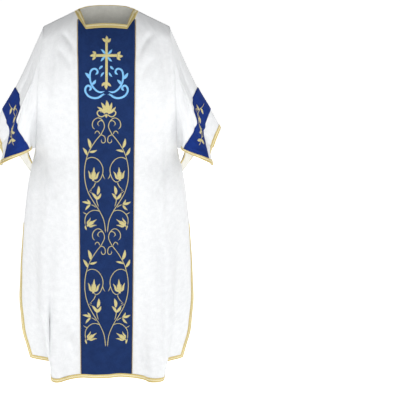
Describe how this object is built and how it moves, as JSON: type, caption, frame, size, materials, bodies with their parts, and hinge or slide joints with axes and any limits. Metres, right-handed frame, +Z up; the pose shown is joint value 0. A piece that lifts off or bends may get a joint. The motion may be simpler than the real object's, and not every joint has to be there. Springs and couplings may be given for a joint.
{
  "type": "dalmatic",
  "caption": "White dalmatic hanging hollow as if worn: wide open-sided sleeves, blue embroidered orphreys down front and back and round the sleeves, gold braid on every edge.",
  "frame": {"origin": "midway between the two points where the shoulder seams reach the neck opening, where the wearer's neck and shoulders hold it", "axes": "+Z up, front facing -Y, the wearer's left towards +X"},
  "size_m": [0.81, 0.3543, 1.2969],
  "materials": {
    "white_cloth": "matt plain weave",
    "blue_cloth": "matt, embroidered",
    "gold_braid": "ribbed gold braid"
  },
  "bodies": {
    "root": {"front_panel": "white_cloth", "back_panel": "white_cloth", "sleeve_left": "white_cloth", "sleeve_right": "white_cloth", "orphrey_front": "blue_cloth", "orphrey_back": "blue_cloth", "sleeve_band_left": "blue_cloth", "sleeve_band_right": "blue_cloth", "neck_braid_front": "gold_braid", "neck_braid_back": "gold_braid", "hem_braid_front": "gold_braid", "hem_braid_back": "gold_braid", "sleeve_braid_left": "gold_braid", "sleeve_braid_right": "gold_braid", "piping_front_left": "gold_braid", "piping_front_right": "gold_braid", "piping_back_left": "gold_braid", "piping_back_right": "gold_braid"}
  },
  "joints": []
}
